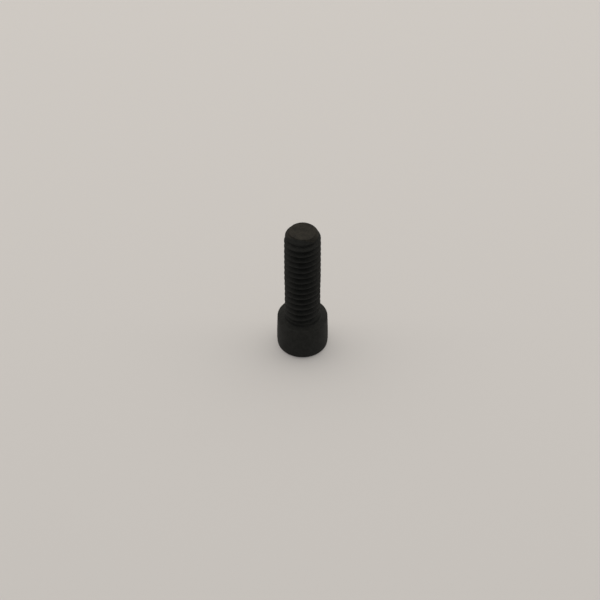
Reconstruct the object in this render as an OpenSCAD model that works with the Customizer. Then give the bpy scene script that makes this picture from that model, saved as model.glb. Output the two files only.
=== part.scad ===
// Socket head cap screw in black oxide steel, standing on its head with the thread up.
// The origin is the centre of the bearing face, and +Z runs up the shank to the point.

/* [Thread] */
// Major diameter of the thread
thread_d = 6.35; // [5:0.05:7.5]
// Distance from one thread to the next
thread_pitch = 1.27; // [0.8:0.01:1.5]
// Length of the shank from the bearing face to its end
shank_length = 20.1; // [16:0.1:50]
// Loss of crest diameter next to the head, where the rolled threads are not fully formed
crest_loss = 0.13; // [0.02:0.01:0.4]
// Height above the bearing face up to which the crests keep that loss
neck_length = 6.5; // [2:0.1:8]
// Length over which the crests then grow to the major diameter
neck_taper = 2.9; // [0.5:0.1:4]
// Height above the bearing face at which the thread groove has run out
runout_height = 0.47; // [0.4:0.01:3]

/* [Point] */
// Width of the cone round the flat at the end, square to the axis
point_width = 0.25; // [0.1:0.01:0.8]
// Slope of that cone, off square to the axis
point_angle = 45; // [30:5:60]
// Radius that blends the cone into the thread's crests
point_blend = 2.2; // [0.5:0.1:2.5]

/* [Head] */
// Diameter of the head
head_d = 8.92; // [7.8:0.02:14]
// Height of the head
head_height = 6.42; // [5.5:0.02:10]
// Draft of the head's side, as the loss of radius at the bearing face
head_draft = 0.09; // [0.02:0.01:0.3]
// Length of the drafted side below the bearing face
draft_length = 3.4; // [0.5:0.1:3.6]
// Loss of radius where the side draws in towards the socket end
foot_draft = 0.1; // [0.02:0.01:0.3]
// Height above the socket end from which the side draws in
foot_length = 1.2; // [0.9:0.1:1.6]
// Radius of the rim at the socket end
rim_radius = 0.45; // [0.1:0.05:0.8]
// Width of the broken edge round the bearing face
edge_break = 0.16; // [0.02:0.01:0.3]
// Radius of the fillet between the shank and the bearing face
fillet_radius = 0.3; // [0.1:0.05:0.5]

/* [Socket] */
// Distance across the flats of the hexagon
socket_flats = 4.76; // [2.5:0.01:5.5]
// Depth of the hexagon's flat walls
socket_depth = 3.2; // [1.5:0.05:4]
// Distance by which the countersunk mouth clears the hexagon's corners
mouth_margin = 0.1; // [0.02:0.01:0.3]
// Angle of the countersunk mouth
mouth_angle = 120; // [90:5:140]
// Angle of the cone at the bottom of the socket
bottom_angle = 120; // [90:5:150]

/* [Hidden] */
$fn = 96;
black_oxide = [0.13, 0.13, 0.125];
// Length by which a cut or a hidden end runs past its face
overrun = 0.5;

// Thread form: flanks 30 degrees off square to the axis, flat crests and roots
flank_angle = 30;
crest_share = 1 / 8;
depth_share = 0.6134;
// Share of the pitch that the cutter spans at its outer edge, clear of its next turn
cutter_span_share = 0.96;
// Steps of the helix in one turn
turn_steps = 36;
// Turns in which the groove runs out to nothing at the head
runout_turns = 0.75;
// Angle about the axis at which the groove has run out
runout_phase = 80;

thread_r = thread_d / 2;
neck_r = thread_r - crest_loss / 2;
thread_depth = depth_share * thread_pitch;
root_r = thread_r - thread_depth;
root_width = thread_pitch * (1 - crest_share) - 2 * thread_depth * tan(flank_angle);
cutter_width = cutter_span_share * thread_pitch;
cutter_r = root_r + (cutter_width - root_width) / 2 / tan(flank_angle);
groove_turns = ceil((shank_length - runout_height) / thread_pitch) + 1;

// The point's blend springs from the crest cylinder and ends where its slope meets the cone
cone_r = thread_r - point_blend * (1 - sin(point_angle));
cone_start = shank_length - point_width * tan(point_angle);
point_start = cone_start - point_blend * cos(point_angle);
blend_r = thread_r - point_blend;

bearing_r = head_d / 2 - head_draft;
foot_r = head_d / 2 - foot_draft;
rim_r = foot_r - rim_radius;

socket_corner_r = socket_flats / 2 / cos(30);
mouth_r = socket_corner_r + mouth_margin;
mouth_height = mouth_r / tan(mouth_angle / 2);
bottom_height = socket_flats / 2 / tan(bottom_angle / 2);

// The groove's section as radius and width at its root and at its outer edge
groove_profile = [
    [root_r, -root_width],
    [root_r, root_width],
    [cutter_r, cutter_width],
    [cutter_r, -cutter_width]
];

// That section as points in the axial plane at the given angle, drawn out by shift
function groove_section(angle, z, shift) = [
    for (p = groove_profile)
        [(p[0] + shift) * cos(angle), (p[0] + shift) * sin(angle), z + p[1] / 2]
];

// How far the groove's section is drawn out of the shank at the given step of the helix
function runout_shift(i) = thread_depth * max(0, 1 - i / (runout_turns * turn_steps));

// The groove of the thread: four-point sections swept up a right-hand helix
module thread_groove() {
    steps = groove_turns * turn_steps;
    points = [
        for (i = [0 : steps])
            let (turn = i / turn_steps, z = runout_height + thread_pitch * turn)
                each groove_section(runout_phase + 360 * turn, z, runout_shift(i))
    ];
    sides = [
        for (i = [0 : steps - 1], j = [0 : 3])
            let (a = 4 * i + j, b = 4 * i + (j + 1) % 4)
                each [[a, a + 4, b], [b, a + 4, b + 4]]
    ];
    ends = [[0, 1, 2, 3], [for (j = [3 : -1 : 0]) 4 * steps + j]];
    polyhedron(points, concat(sides, ends), convexity = 10);
}

// Half section of the shank at the thread's crests: neck, taper, full crests and blended point
module shank_profile() {
    polygon([
        [0, -overrun],
        [neck_r, -overrun],
        [neck_r, neck_length],
        [thread_r, neck_length + neck_taper],
        [thread_r, point_start],
        [cone_r, cone_start],
        [cone_r - point_width, shank_length],
        [0, shank_length]
    ]);
    intersection() {
        translate([blend_r, point_start])
            circle(point_blend);
        polygon([
            [blend_r, point_start],
            [thread_r, point_start],
            [thread_r, cone_start],
            [cone_r, cone_start]
        ]);
    }
}

// Half section of the fillet where the shank meets the bearing face
module fillet_profile() {
    difference() {
        translate([0, -overrun])
            square([neck_r + fillet_radius, overrun + fillet_radius]);
        translate([neck_r + fillet_radius, fillet_radius])
            circle(fillet_radius);
    }
}

// Half section of the head, from the rim that it stands on to the bearing face
module head_profile() {
    polygon([
        [0, -head_height],
        [rim_r, -head_height],
        [rim_r, rim_radius - head_height],
        [foot_r, rim_radius - head_height],
        [head_d / 2, foot_length - head_height],
        [head_d / 2, -draft_length],
        [bearing_r, -edge_break],
        [bearing_r - edge_break, 0],
        [0, 0]
    ]);
    translate([rim_r, rim_radius - head_height])
        circle(rim_radius);
}

// Hexagon socket with a countersunk mouth and a coned bottom
module socket() {
    translate([0, 0, -head_height - overrun])
        cylinder(r = socket_corner_r, h = overrun + socket_depth, $fn = 6);
    translate([0, 0, socket_depth - head_height])
        cylinder(r1 = socket_flats / 2, r2 = 0, h = bottom_height);
    translate([0, 0, -head_height])
        cylinder(r1 = mouth_r, r2 = 0, h = mouth_height);
}

// The whole screw: a turned blank with the socket and the thread cut from it
module cap_screw() {
    color(black_oxide)
        difference() {
            rotate_extrude() {
                shank_profile();
                fillet_profile();
                head_profile();
            }
            socket();
            thread_groove();
        }
}

cap_screw();
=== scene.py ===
import math

import bmesh
import bpy
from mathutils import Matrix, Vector


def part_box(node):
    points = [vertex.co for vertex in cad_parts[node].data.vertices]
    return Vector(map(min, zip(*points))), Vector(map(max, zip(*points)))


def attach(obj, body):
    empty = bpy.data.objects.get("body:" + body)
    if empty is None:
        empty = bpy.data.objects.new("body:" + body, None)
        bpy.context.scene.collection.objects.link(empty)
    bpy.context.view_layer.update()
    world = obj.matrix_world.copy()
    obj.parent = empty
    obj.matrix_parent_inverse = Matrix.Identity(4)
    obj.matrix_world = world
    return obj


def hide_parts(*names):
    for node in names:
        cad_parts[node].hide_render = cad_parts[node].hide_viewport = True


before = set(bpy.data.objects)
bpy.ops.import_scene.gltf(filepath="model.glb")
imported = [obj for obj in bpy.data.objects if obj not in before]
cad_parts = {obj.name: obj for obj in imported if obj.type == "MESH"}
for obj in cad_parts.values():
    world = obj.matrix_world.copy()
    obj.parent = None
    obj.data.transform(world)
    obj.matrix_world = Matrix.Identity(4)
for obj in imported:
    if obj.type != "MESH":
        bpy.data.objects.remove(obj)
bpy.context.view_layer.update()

# The screw is one piece, made from steel wire. Its shank is threaded by rolling between flat dies, which
# leaves round roots and eased crests, a little unfilled next to the head, and blends the crests into
# a chamfered point.
mm = 0.001
screw_low, screw_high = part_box("cap_screw")
shank_length = screw_high[2]
thread_r = 3.175 * mm
thread_pitch = 1.27 * mm
flank_angle = math.radians(30)
flank_slope = math.tan(flank_angle)
root_round = 0.18 * mm
crest_round = 0.08 * mm
# The crest's flat is an eighth of the pitch wide, and the groove is half a pitch wide on the pitch line.
crest_half = thread_pitch / 16
groove_half = thread_pitch / 4
pitch_r = thread_r - (thread_pitch / 2 - crest_half - groove_half) / flank_slope
root_centre_r = pitch_r + (root_round / math.cos(flank_angle) - groove_half) / flank_slope
neck_r = 3.11 * mm
neck_length = 6.5 * mm
neck_taper = 2.9 * mm
neck_base = 0.36 * mm
runout_height = 0.47 * mm
runout_angle = math.radians(80)
runout_turns = 0.75
runout_lift = thread_r - (root_centre_r - root_round)
point_angle = math.radians(45)
point_blend = 2.2 * mm
point_width = 0.25 * mm
cone_r = thread_r - point_blend * (1 - math.sin(point_angle))
cone_start = shank_length - point_width * math.tan(point_angle)
point_start = cone_start - point_blend * math.cos(point_angle)
# The shear that cut the wire drew its front edge down into a slanted wall, which ends the flat in an arc.
break_centre = Vector((0.8, 2.7)) * mm
break_r = 4.95 * mm
shear_slope = 1.35
shear_round = 0.75 * mm
turn_steps = 120
rows_per_pitch = 32
weld = 0.0005 * mm


def crest_radius(z):
    """Radius of the blank at a height above the bearing face: neck, taper, crests, blend and cone."""
    if z < point_start:
        grown = min(max((z - neck_length) / neck_taper, 0.0), 1.0)
        return neck_r + (thread_r - neck_r) * grown
    if z < cone_start:
        return thread_r - point_blend + math.sqrt(point_blend ** 2 - (z - point_start) ** 2)
    return cone_r - (z - cone_start) / math.tan(point_angle)


def groove_radius(offset):
    """Radius of the groove at a distance along the axis from its middle: a round root, then a flank."""
    offset = abs(offset)
    if offset < root_round * math.cos(flank_angle):
        return root_centre_r - math.sqrt(root_round ** 2 - offset ** 2)
    return pitch_r + (offset - groove_half) / flank_slope


def sheared_radius(angle, z):
    """Radius of the sheared wall, which slants outwards as it goes down from the arc at the end."""
    along = break_centre.dot((math.cos(angle), math.sin(angle)))
    reach = break_r + (shank_length - z) / shear_slope
    return along + math.sqrt(along ** 2 - break_centre.length_squared + reach ** 2)


def eased(one, other, width):
    """The lesser of two radii, eased over a width where they meet."""
    return min(one, other) - width / 4 * max(1 - abs(one - other) / width, 0.0) ** 2


def shank_radius(angle, z):
    """Radius of the finished shank: the groove where it lies below the blank, within the sheared wall."""
    turns_round = (angle - runout_angle) / math.tau
    turns_up = (z - runout_height) / thread_pitch
    turn = round(turns_up - turns_round)
    offset = (turns_up - turns_round - turn) * thread_pitch
    lift = runout_lift * max(0.0, 1 - (turns_round + turn) / runout_turns)
    thread = eased(crest_radius(z), groove_radius(offset) + lift, crest_round)
    return eased(thread, sheared_radius(angle, z), shear_round)


# A strip one pitch high climbs one pitch as it spins once, so its two ends lie apart and aren't merged.
bm = bmesh.new()
first_row = neck_base - thread_pitch
strip_ends = [bm.verts.new((thread_r, 0, first_row + z)) for z in (0, thread_pitch)]
bmesh.ops.subdivide_edges(bm, edges=[bm.edges.new(strip_ends)], cuts=rows_per_pitch - 1)
bmesh.ops.spin(
    bm, geom=bm.verts[:] + bm.edges[:], axis=(0, 0, 1), cent=(0, 0, 0), steps=turn_steps,
    angle=math.tau, dvec=(0, 0, thread_pitch / turn_steps), use_merge=False,
)
first_turn = bm.verts[:] + bm.edges[:] + bm.faces[:]
for turn in range(1, math.ceil((shank_length - neck_base) / thread_pitch) + 1):
    copied = bmesh.ops.duplicate(bm, geom=first_turn)["geom"]
    verts = [g for g in copied if isinstance(g, bmesh.types.BMVert)]
    bmesh.ops.translate(bm, verts=verts, vec=(0, 0, turn * thread_pitch))
for vert in bm.verts:
    angle = math.atan2(vert.co.y, vert.co.x)
    vert.co.z = min(max(vert.co.z, neck_base), shank_length)
    vert.co.xy *= shank_radius(angle, vert.co.z) / vert.co.xy.length
bmesh.ops.remove_doubles(bm, verts=bm.verts, dist=weld)
bmesh.ops.dissolve_degenerate(bm, edges=bm.edges, dist=weld)


def rim_at(height):
    """The open edges of the mesh at a height."""
    return [e for e in bm.edges if e.is_boundary and all(abs(v.co.z - height) < weld for v in e.verts)]


def extrude_ring(ring, radius, height):
    """Draws a ring of edges out to new radii and heights, given as functions of the angle."""
    made = bmesh.ops.extrude_edge_only(bm, edges=ring)["geom"]
    verts = {g for g in made if isinstance(g, bmesh.types.BMVert)}
    for vert in verts:
        angle = math.atan2(vert.co.y, vert.co.x)
        vert.co.xy = Vector((math.cos(angle), math.sin(angle))) * radius(angle)
        vert.co.z = height(angle)
    return [g for g in made if isinstance(g, bmesh.types.BMEdge) and set(g.verts) <= verts]


def extrude_circle(ring, radius, height):
    """Draws a ring of edges out to a circle."""
    return extrude_ring(ring, lambda angle: radius, lambda angle: height)


# The end of the shank is where the wire was sheared: a broken flat, bounded at the front by the arc of
# the shear, and dished a little because rolling draws the outside of the wire past its core.
end_dish = 0.04 * mm
end_rings = 20
pole_r = weld / 10
ring = rim_at(shank_length)
for step in range(end_rings - 1, 0, -1):
    share = step / end_rings
    dish = end_dish * (1 - share ** 2)
    ring = extrude_ring(
        ring, lambda angle: shank_radius(angle, shank_length) * share, lambda angle: shank_length - dish,
    )
extrude_circle(ring, pole_r, shank_length - end_dish)

# The head is upset from the same wire in a die: a tall cylinder, drawn in a little towards both ends,
# with a small fillet round the shank, a broken bearing edge and a rounded rim that it stands on.
head_r = screw_high[0]
head_base = screw_low[2]
head_draft = 0.09 * mm
draft_length = 3.4 * mm
fillet_radius = 0.3 * mm
edge_break = 0.16 * mm
foot_draft = 0.1 * mm
foot_length = 1.2 * mm
rim_radius = 0.45 * mm
fillet_ring = extrude_circle(rim_at(neck_base), neck_r, 0)
edge_ring = extrude_circle(fillet_ring, head_r - head_draft, 0)
draft_ring = extrude_circle(edge_ring, head_r, -draft_length)
foot_ring = extrude_circle(draft_ring, head_r, head_base + foot_length)
rim_ring = extrude_circle(foot_ring, head_r - foot_draft, head_base)

# The socket is punched into the head: six flat walls between a countersunk mouth and a coned bottom.
# The bottom's cone starts just inside the flats, so that its ring stays clear of the walls.
socket_half = 2.38 * mm
socket_depth = 3.2 * mm
socket_sides = 6
mouth_margin = 0.1 * mm
cone_angle = math.radians(120)
cone_slope = math.tan(cone_angle / 2)
bottom_share = 0.995
side_angle = math.tau / socket_sides
mouth_r = socket_half / math.cos(side_angle / 2) + mouth_margin
wall_top = head_base + socket_depth


def hexagon_radius(angle):
    """Radius of the hexagon at an angle, with a corner at zero."""
    return socket_half / math.cos(angle % side_angle - side_angle / 2)


def mouth_height(angle):
    """Height at which the countersink meets the hexagon's wall."""
    return head_base + (mouth_r - hexagon_radius(angle)) / cone_slope


mouth_ring = extrude_circle(rim_ring, mouth_r, head_base)
hexagon_ring = extrude_ring(mouth_ring, hexagon_radius, mouth_height)
wall_ring = extrude_ring(hexagon_ring, hexagon_radius, lambda angle: wall_top)
bottom_ring = extrude_circle(wall_ring, socket_half * bottom_share, wall_top)
extrude_circle(bottom_ring, pole_r, wall_top + socket_half / cone_slope)

# With the mesh closed, the head's three corners are rounded, and edges sharper than a limit stay crisp.
corner_steps = 5
sharp_angle = math.radians(35)
for corner_ring, radius in (
    (fillet_ring, fillet_radius), (edge_ring, edge_break), (rim_ring, rim_radius),
):
    bmesh.ops.bevel(
        bm, geom=corner_ring, offset=radius, offset_type="OFFSET", segments=corner_steps, profile=0.5,
        affect="EDGES", material=-1, clamp_overlap=True,
    )
bmesh.ops.remove_doubles(bm, verts=bm.verts, dist=weld)
bmesh.ops.recalc_face_normals(bm, faces=bm.faces)
for face in bm.faces:
    face.smooth = True
screw_mesh = bpy.data.meshes.new("screw")
bm.to_mesh(screw_mesh)
bm.free()
screw_mesh.set_sharp_from_angle(angle=sharp_angle)
screw = bpy.data.objects.new("screw", screw_mesh)
bpy.context.scene.collection.objects.link(screw)

# The finish is black oxide: a thin matt coat grown on the steel in a hot bath, nearly black, a little
# patchy in tone and finely grained. On the broken end it is browner. That tone is also painted lighter
# than the oxide, a painted highlight, and it runs down the sides and back of the point as painted
# reflection.
oxide_dark = (0.0145, 0.0151, 0.0142)
oxide_light = (0.0215, 0.0223, 0.0208)
# The end's colours: the brown is the broken end's own coat, and their extra lightness is a painted
# highlight.
end_brown_and_sheen_dark = (0.0145, 0.0139, 0.0116)
end_brown_and_sheen_light = (0.0265, 0.0243, 0.0193)
brown_and_sheen_depth = 0.6 * mm
brown_and_sheen_fade = 0.1 * mm
patch_low = 0.42
patch_high = 0.58
mottle_per_mm = 0.9
speckle_per_mm = 3.2
speckle_share = 0.5
grain_per_mm = 14
grain_depth = 0.01 * mm
grain_strength = 0.25
least_rough = 0.55
most_rough = 0.72
gloss_level = 0.11
gloss_tint = (1, 0.99, 0.97)
oxide = bpy.data.materials.new("black_oxide_steel")
oxide.use_nodes = True
nodes, links = oxide.node_tree.nodes, oxide.node_tree.links
coat = nodes["Principled BSDF"]
place = nodes.new("ShaderNodeTexCoord").outputs["Object"]


def noise(per_mm, detail):
    """A noise texture in the screw's own coordinates, with its scale in features per millimetre."""
    texture = nodes.new("ShaderNodeTexNoise")
    texture.inputs["Scale"].default_value = per_mm / mm
    texture.inputs["Detail"].default_value = detail
    links.new(place, texture.inputs["Vector"])
    return texture.outputs["Fac"]


def ramp(value, dark, light):
    """Maps the patches' values to colours from dark to light."""
    node = nodes.new("ShaderNodeValToRGB")
    stops = ((patch_low, dark), (patch_high, light))
    for element, (at, colour) in zip(node.color_ramp.elements, stops):
        element.position = at
        element.color = (*colour, 1)
    links.new(value, node.inputs["Fac"])
    return node.outputs["Color"]


def map_range(value, low, high, to_low, to_high):
    """Maps a value from one range to another, and holds it there."""
    node = nodes.new("ShaderNodeMapRange")
    settings = (("From Min", low), ("From Max", high), ("To Min", to_low), ("To Max", to_high))
    for name, setting in settings:
        node.inputs[name].default_value = setting
    links.new(value, node.inputs["Value"])
    return node.outputs["Result"]


def vector_math(operation, vector, other):
    """The outputs of a vector operation on a linked vector and a fixed one."""
    node = nodes.new("ShaderNodeVectorMath")
    node.operation = operation
    links.new(vector, node.inputs[0])
    node.inputs[1].default_value = other
    return node.outputs


plan_place = vector_math("MULTIPLY", place, (1, 1, 0))["Vector"]
arc_distance = vector_math("DISTANCE", plan_place, (*break_centre, 0))["Value"]
split_place = nodes.new("ShaderNodeSeparateXYZ")
links.new(place, split_place.inputs["Vector"])
# The browner, lighter tone covers the end inside the shear's arc and the top of the point's sides and
# back. On the flat, the brown is real and the lightness is painted highlight. Down the point's sides and
# back, it is painted reflection.
brown_and_sheen_base = shank_length - brown_and_sheen_depth
in_arc = map_range(arc_distance, break_r, break_r - brown_and_sheen_fade, 0, 1)
near_end = map_range(split_place.outputs["Z"], brown_and_sheen_base, brown_and_sheen_base + brown_and_sheen_fade, 0, 1)
# Mask of the end's browner tone, with its painted highlight and painted reflection.
brown_and_sheen_mask = nodes.new("ShaderNodeMath")
brown_and_sheen_mask.operation = "MULTIPLY"
links.new(in_arc, brown_and_sheen_mask.inputs[0])
links.new(near_end, brown_and_sheen_mask.inputs[1])

patches = nodes.new("ShaderNodeMix")
patches.inputs["Factor"].default_value = speckle_share
links.new(noise(mottle_per_mm, detail=4), patches.inputs["A"])
links.new(noise(speckle_per_mm, detail=4), patches.inputs["B"])
tone = nodes.new("ShaderNodeMix")
tone.data_type = "RGBA"
links.new(brown_and_sheen_mask.outputs["Value"], tone.inputs["Factor"])
links.new(ramp(patches.outputs["Result"], oxide_dark, oxide_light), tone.inputs["A"])
links.new(ramp(patches.outputs["Result"], end_brown_and_sheen_dark, end_brown_and_sheen_light), tone.inputs["B"])
links.new(tone.outputs["Result"], coat.inputs["Base Color"])
grain = noise(grain_per_mm, detail=3)
links.new(map_range(grain, 0, 1, least_rough, most_rough), coat.inputs["Roughness"])
bump = nodes.new("ShaderNodeBump")
bump.inputs["Strength"].default_value = grain_strength
bump.inputs["Distance"].default_value = grain_depth
links.new(grain, bump.inputs["Height"])
links.new(bump.outputs["Normal"], coat.inputs["Normal"])
coat.inputs["Metallic"].default_value = 0.0
coat.inputs["Specular IOR Level"].default_value = gloss_level
coat.inputs["Specular Tint"].default_value = (*gloss_tint, 1)
screw_mesh.materials.append(oxide)
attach(screw, "root")
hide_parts("cap_screw")

# The screw stands on a sheet of plain pale paper, a hair below it so that their faces don't coincide.
# The paper gives off a share of its own light, which keeps the shadow round the head weak.
sheet_size = 4.0
sheet_gap = 0.01 * mm
paper_colour = (0.468, 0.462, 0.458)
paper_roughness = 0.9
glow_colour = (0.585, 0.553, 0.523)
glow_strength = 0.27
bm = bmesh.new()
bmesh.ops.create_grid(bm, x_segments=1, y_segments=1, size=sheet_size / 2)
bmesh.ops.translate(bm, verts=bm.verts, vec=(0, 0, head_base - sheet_gap))
sheet_mesh = bpy.data.meshes.new("floor")
bm.to_mesh(sheet_mesh)
bm.free()
sheet = bpy.data.objects.new("floor", sheet_mesh)
bpy.context.scene.collection.objects.link(sheet)
paper = bpy.data.materials.new("pale_paper")
paper.use_nodes = True
paper_inputs = paper.node_tree.nodes["Principled BSDF"].inputs
paper_inputs["Base Color"].default_value = (*paper_colour, 1)
paper_inputs["Emission Color"].default_value = (*glow_colour, 1)
paper_inputs["Emission Strength"].default_value = glow_strength
paper_inputs["Roughness"].default_value = paper_roughness
paper_inputs["Specular IOR Level"].default_value = 0.0
sheet_mesh.materials.append(paper)

# A wide soft box overhead, set back a little, and another behind light the screw's top and sides with
# slightly warm light. Its front gets only what the pale room and the paper give.
room_colour = (0.56, 0.565, 0.56)
room_strength = 0.52
lamp_colour = (1, 0.93, 0.845)
world = bpy.data.worlds.new("pale_room")
world.use_nodes = True
room_inputs = world.node_tree.nodes["Background"].inputs
room_inputs["Color"].default_value = (*room_colour, 1)
room_inputs["Strength"].default_value = room_strength
bpy.context.scene.world = world


def soft_box(name, width, depth, power, spot, tilt):
    """A rectangular soft box of a given size and power at a spot, tilted about the X axis."""
    light = bpy.data.lights.new(name, "AREA")
    light.shape = "RECTANGLE"
    light.size = width
    light.size_y = depth
    light.energy = power
    light.color = lamp_colour
    lamp = bpy.data.objects.new(name, light)
    lamp.location = spot
    lamp.rotation_euler = (tilt, 0, 0)
    bpy.context.scene.collection.objects.link(lamp)


soft_box("overhead_box", width=3.2, depth=1.0, power=12.5, spot=(0, 0.4, 0.6), tilt=0)
soft_box("back_box", width=4.0, depth=1.0, power=5.0, spot=(0, 1.6, 0.5), tilt=-math.pi / 2)

# The camera looks down on the screw from 45 degrees up, far off with a long lens. The lens is set by the
# thread's width in the picture, and shifted by the place of the screw's axis there.
image_px = 600
thread_px = 36.5
axis_px = 302.5
view_height = 3.66 * mm
view_elevation = math.radians(44.8)
view_distance = 571.5 * mm
view_back = view_distance * math.cos(view_elevation)
view_rise = view_distance * math.sin(view_elevation)
lens = bpy.data.cameras.new("camera")
lens.sensor_width = 36
lens.lens = lens.sensor_width * thread_px / image_px * view_distance / (2 * thread_r)
lens.shift_x = (image_px / 2 - axis_px) / image_px
lens.clip_start = 0.01
camera = bpy.data.objects.new("camera", lens)
camera.location = (0, -view_back, view_height + view_rise)
camera.rotation_euler = (math.pi / 2 - view_elevation, 0, 0)
bpy.context.scene.collection.objects.link(camera)
bpy.context.scene.camera = camera
bpy.context.scene.view_settings.view_transform = "Standard"
